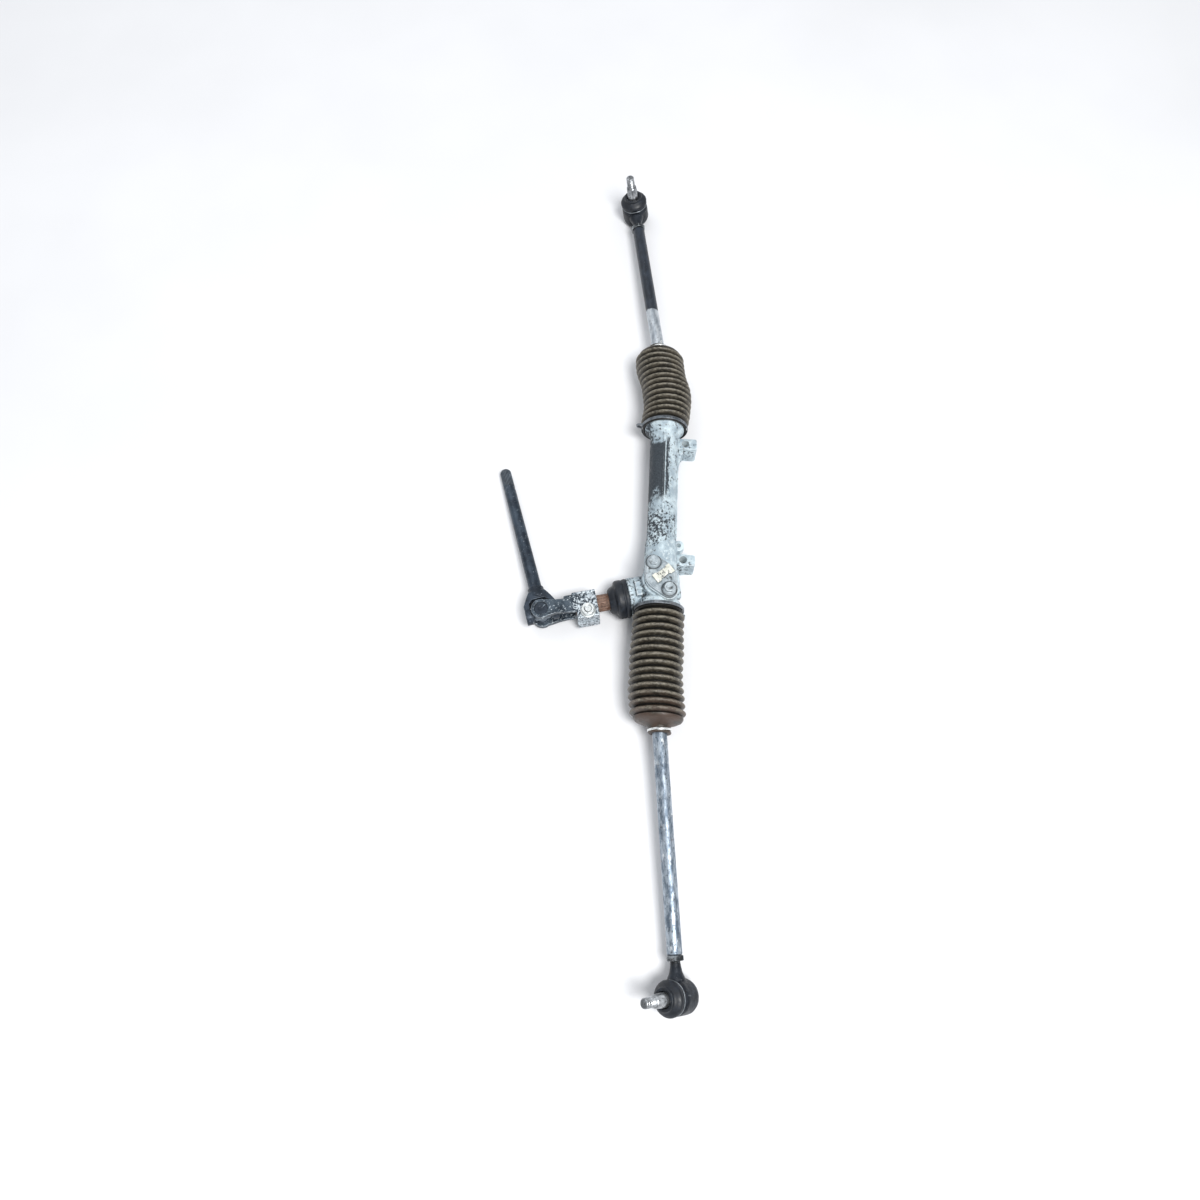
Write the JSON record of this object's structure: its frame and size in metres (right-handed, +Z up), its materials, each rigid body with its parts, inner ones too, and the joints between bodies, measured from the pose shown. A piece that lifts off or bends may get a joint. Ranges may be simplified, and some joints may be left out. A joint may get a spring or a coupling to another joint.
{
  "type": "rack and pinion steering gear",
  "caption": "manual steering rack with pinion, bellows, tie rods with ball-joint ends, and a folded universal joint and shaft on the pinion",
  "frame": {"origin": "middle of the footprint, on the surface that the gear lies on", "axes": "+X along the rack towards the pinion end tie rod, +Y towards the mounting ears, +Z up; the pinion shaft leaves towards -Y"},
  "size_m": [0.9916, 0.2412, 0.0728],
  "materials": {
    "cast_aluminium": "rough sand-cast aluminium, oxidised and grimy",
    "cover_metal": "dull grey plate and bolt heads",
    "pale_paint": "chalky pale paint",
    "polymer": "plain bearing plastic",
    "bronze": "plain bearing metal",
    "spring_steel": "dull spring steel",
    "bearing_steel": "ground and hardened steel",
    "rusty_steel": "light rust over splined steel",
    "black_rubber": "black moulded rubber",
    "bellows_rubber": "dusty grey-brown rubber",
    "dark_steel": "worn blue-black finish",
    "zinc_steel": "bright worn plating",
    "rod_steel": "dirty grey steel",
    "rod_end_steel": "dark greasy forging",
    "stud_steel": "worn bright steel"
  },
  "bodies": {
    "housing": {"rack_housing": "cast_aluminium", "rack_bush": "polymer", "pinion_bearing_outer_ring": "bearing_steel", "pinion_needle_bush": "bronze", "pinion_circlip": "spring_steel", "pinion_oil_seal": "black_rubber", "pinion_dust_cap": "black_rubber", "rack_guide": "bronze", "guide_spring": "spring_steel", "guide_cover": "cover_metal", "cover_label": "pale_paint", "cover_bolt_1": "cover_metal", "cover_bolt_2": "cover_metal", "near_bellows": "bellows_rubber", "far_bellows": "bellows_rubber", "near_boot_clamp": "spring_steel", "far_boot_clamp": "spring_steel"},
    "rack": {"rack_bar": "bearing_steel", "near_inner_socket": "rod_steel", "far_inner_socket": "rod_steel", "near_lock_washer": "rod_steel", "far_lock_washer": "rod_steel"},
    "pinion": {"pinion_shaft": "rusty_steel", "pinion_bearing_inner_ring": "bearing_steel", "clamp_yoke": "dark_steel", "pinch_bolt": "zinc_steel", "pinch_nut": "zinc_steel", "bearing_cup_upper": "bearing_steel", "bearing_cup_lower": "bearing_steel"},
    "bearing_balls": {"pinion_bearing_balls": "bearing_steel"},
    "cross": {"joint_cross": "dark_steel"},
    "intermediate": {"shaft_yoke": "dark_steel", "intermediate_shaft": "dark_steel", "bearing_cup_outer": "bearing_steel", "bearing_cup_inner": "bearing_steel"},
    "near_inner_seat": {"near_inner_ball_seat": "polymer"},
    "near_rod": {"near_tie_rod": "rod_steel", "near_lock_nut": "rod_steel", "near_rod_end": "rod_end_steel", "near_rod_end_cap": "rod_steel", "near_boot_clip": "spring_steel", "near_dust_boot": "black_rubber", "near_dust_boot_ring": "spring_steel"},
    "near_outer_seat": {"near_outer_ball_seat": "polymer"},
    "near_stud": {"near_ball_stud": "stud_steel"},
    "far_inner_seat": {"far_inner_ball_seat": "polymer"},
    "far_rod": {"far_tie_rod": "rod_steel", "far_lock_nut": "rod_steel", "far_rod_end": "rod_end_steel", "far_rod_end_cap": "rod_steel", "far_boot_clip": "spring_steel", "far_dust_boot": "black_rubber", "far_dust_boot_ring": "spring_steel"},
    "far_outer_seat": {"far_outer_ball_seat": "polymer"},
    "far_stud": {"far_ball_stud": "stud_steel"}
  },
  "joints": [
    {"name": "rack_slide", "type": "slide", "parent": "housing", "child": "rack", "axis": [1, 0, 0], "range_m": [-0.068, 0.032], "deforming": ["near_bellows", "far_bellows"]},
    {"name": "pinion_spin", "type": "hinge", "parent": "housing", "child": "pinion", "pos_m": [0.06828, 0.07098, 0.022], "axis": [0.2402, -0.9707, 0], "range_deg": [-292.58, 619.47]},
    {"name": "bearing_spin", "type": "hinge", "parent": "housing", "child": "bearing_balls", "pos_m": [0.06828, 0.07098, 0.022], "axis": [0.2402, -0.9707, 0], "range_deg": [-129.41, 272.74]},
    {"name": "joint_fold", "type": "hinge", "parent": "pinion", "child": "cross", "pos_m": [0.09985, -0.05657, 0.022], "axis": [0, 0, 1], "range_deg": [-1.5, 174]},
    {"name": "joint_tip", "type": "hinge", "parent": "cross", "child": "intermediate", "pos_m": [0.09985, -0.05657, 0.022], "axis": [0.304, -0.9527, 0], "range_deg": [-23.5, 14.5]},
    {"name": "near_rod_swing", "type": "hinge", "parent": "rack", "child": "near_inner_seat", "pos_m": [0.18228, 0.07098, 0.0351], "axis": [0, 0, 1], "range_deg": [-23.65, 12.35]},
    {"name": "near_rod_lift", "type": "hinge", "parent": "near_inner_seat", "child": "near_rod", "pos_m": [0.18228, 0.07098, 0.0351], "axis": [-0.0985, 0.9951, 0], "range_deg": [-24.56, 19.44]},
    {"name": "near_stud_tilt", "type": "hinge", "parent": "near_rod", "child": "near_outer_seat", "pos_m": [0.47794, 0.10023, 0.0218], "axis": [-0.0468, 0.7652, 0.6421], "range_deg": [-20, 20], "deforming": ["near_dust_boot"]},
    {"name": "near_stud_spin", "type": "hinge", "parent": "near_outer_seat", "child": "near_stud", "pos_m": [0.47794, 0.10023, 0.0218], "axis": [0.0974, -0.6363, 0.7653], "continuous": true},
    {"name": "far_rod_swing", "type": "hinge", "parent": "rack", "child": "far_inner_seat", "pos_m": [-0.18572, 0.07098, 0.0351], "axis": [0, 0, 1], "range_deg": [-27.07, 8.93]},
    {"name": "far_rod_lift", "type": "hinge", "parent": "far_inner_seat", "child": "far_rod", "pos_m": [-0.18572, 0.07098, 0.0351], "axis": [0.1576, -0.9875, 0], "range_deg": [-25.41, 18.59]},
    {"name": "far_stud_tilt", "type": "hinge", "parent": "far_rod", "child": "far_outer_seat", "pos_m": [-0.47888, 0.02419, 0.0174], "axis": [0.1649, -0.9739, -0.1562], "range_deg": [-20, 20], "deforming": ["far_dust_boot"]},
    {"name": "far_stud_spin", "type": "hinge", "parent": "far_outer_seat", "child": "far_stud", "pos_m": [-0.47888, 0.02419, 0.0174], "axis": [-0.0334, -0.1637, 0.9859], "continuous": true}
  ],
  "couplings": [
    {"joint": "pinion_spin", "follows": "rack_slide", "rad_per_m": -158.48},
    {"joint": "bearing_spin", "follows": "rack_slide", "rad_per_m": -69.489}
  ]
}
